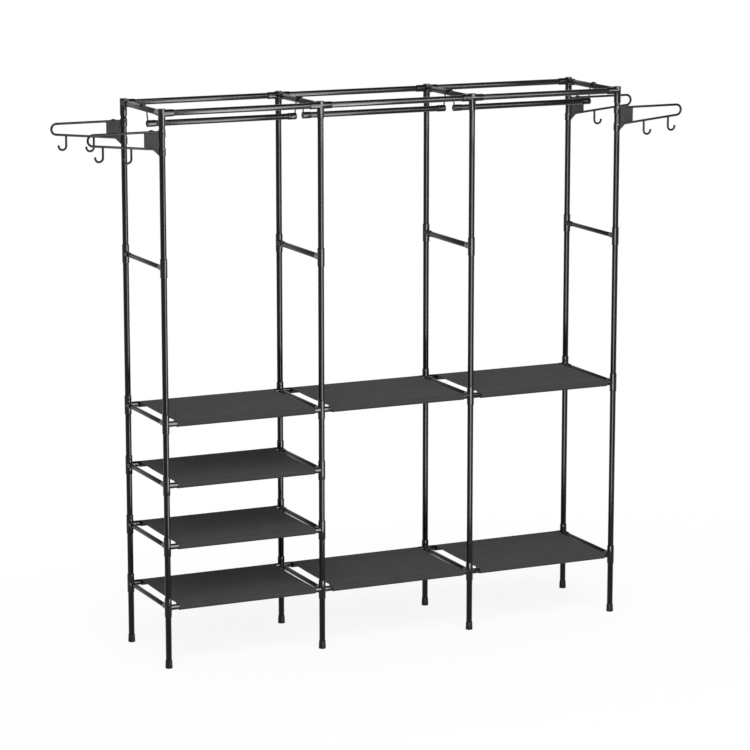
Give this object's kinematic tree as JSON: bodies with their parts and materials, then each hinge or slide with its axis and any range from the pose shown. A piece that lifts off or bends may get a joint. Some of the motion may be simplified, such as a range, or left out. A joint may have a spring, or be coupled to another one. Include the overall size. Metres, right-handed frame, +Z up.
{
  "type": "open frame wardrobe",
  "caption": "Free-standing open wardrobe of slim black tubes in sleeve connectors, with stretched fabric shelves, swinging hanging rods and swivelling coat-hook arms.",
  "frame": {"origin": "on the floor, in the middle of the object's outline", "axes": "+X along the rack to the right as seen from the front, +Y to the back, +Z up"},
  "size_m": [1.9944, 0.3422, 1.7],
  "materials": {
    "tube_steel": "satin",
    "connector_plastic": "satin",
    "foot_plastic": "matte",
    "cap_plastic": "satin",
    "bracket_plastic": "satin",
    "hook_steel": "satin",
    "shelf_fabric": "matte"
  },
  "bodies": {
    "frame": {"feet": "foot_plastic", "left_end_posts": "tube_steel", "left_end_shelf_connectors": "connector_plastic", "left_end_depth_rails": "tube_steel", "left_inner_posts": "tube_steel", "left_inner_shelf_connectors": "connector_plastic", "left_inner_depth_rails": "tube_steel", "right_inner_posts": "tube_steel", "right_inner_shelf_connectors": "connector_plastic", "right_inner_depth_rails": "tube_steel", "right_end_posts": "tube_steel", "right_end_shelf_connectors": "connector_plastic", "right_end_depth_rails": "tube_steel", "top_corner_connectors": "connector_plastic", "top_tee_connectors": "connector_plastic", "outer_mid_connectors": "connector_plastic", "inner_mid_connectors": "connector_plastic", "left_top_rails": "tube_steel", "left_shelf_1_rails": "tube_steel", "left_shelf_1_fabric": "shelf_fabric", "left_shelf_2_rails": "tube_steel", "left_shelf_2_fabric": "shelf_fabric", "left_shelf_3_rails": "tube_steel", "left_shelf_3_fabric": "shelf_fabric", "left_shelf_4_rails": "tube_steel", "left_shelf_4_fabric": "shelf_fabric", "middle_top_rails": "tube_steel", "middle_shelf_1_rails": "tube_steel", "middle_shelf_1_fabric": "shelf_fabric", "middle_shelf_2_rails": "tube_steel", "middle_shelf_2_fabric": "shelf_fabric", "right_top_rails": "tube_steel", "right_shelf_1_rails": "tube_steel", "right_shelf_1_fabric": "shelf_fabric", "right_shelf_2_rails": "tube_steel", "right_shelf_2_fabric": "shelf_fabric"},
    "left_rod": {"left_hanging_rod": "tube_steel", "left_rod_caps": "cap_plastic", "left_rod_hooks": "hook_steel"},
    "middle_rod": {"middle_hanging_rod": "tube_steel", "middle_rod_caps": "cap_plastic", "middle_rod_hooks": "hook_steel"},
    "right_rod": {"right_hanging_rod": "tube_steel", "right_rod_caps": "cap_plastic", "right_rod_hooks": "hook_steel"},
    "front_left_arm": {"front_left_arm_bracket": "bracket_plastic", "front_left_arm_loop": "hook_steel", "front_left_arm_coat_hooks": "hook_steel"},
    "back_left_arm": {"back_left_arm_bracket": "bracket_plastic", "back_left_arm_loop": "hook_steel", "back_left_arm_coat_hooks": "hook_steel"},
    "front_right_arm": {"front_right_arm_bracket": "bracket_plastic", "front_right_arm_loop": "hook_steel", "front_right_arm_coat_hooks": "hook_steel"},
    "back_right_arm": {"back_right_arm_bracket": "bracket_plastic", "back_right_arm_loop": "hook_steel", "back_right_arm_coat_hooks": "hook_steel"}
  },
  "joints": [
    {"name": "left_rod_swing", "type": "hinge", "parent": "frame", "child": "left_rod", "pos_m": [-0.509, -0.004, 1.6977], "axis": [1, 0, 0], "range_deg": [-25, 25]},
    {"name": "middle_rod_swing", "type": "hinge", "parent": "frame", "child": "middle_rod", "pos_m": [0, 0.004, 1.6977], "axis": [1, 0, 0], "range_deg": [-25, 25]},
    {"name": "right_rod_swing", "type": "hinge", "parent": "frame", "child": "right_rod", "pos_m": [0.509, -0.004, 1.6977], "axis": [1, 0, 0], "range_deg": [-25, 25]},
    {"name": "front_left_arm_swivel", "type": "hinge", "parent": "frame", "child": "front_left_arm", "pos_m": [-0.7635, -0.16, 1.6], "axis": [0, 0, 1], "range_deg": [-30, 90]},
    {"name": "back_left_arm_swivel", "type": "hinge", "parent": "frame", "child": "back_left_arm", "pos_m": [-0.7635, 0.16, 1.6], "axis": [0, 0, 1], "range_deg": [-90, 30]},
    {"name": "front_right_arm_swivel", "type": "hinge", "parent": "frame", "child": "front_right_arm", "pos_m": [0.7635, -0.16, 1.6], "axis": [0, 0, 1], "range_deg": [-90, 30]},
    {"name": "back_right_arm_swivel", "type": "hinge", "parent": "frame", "child": "back_right_arm", "pos_m": [0.7635, 0.16, 1.6], "axis": [0, 0, 1], "range_deg": [-30, 90]}
  ]
}
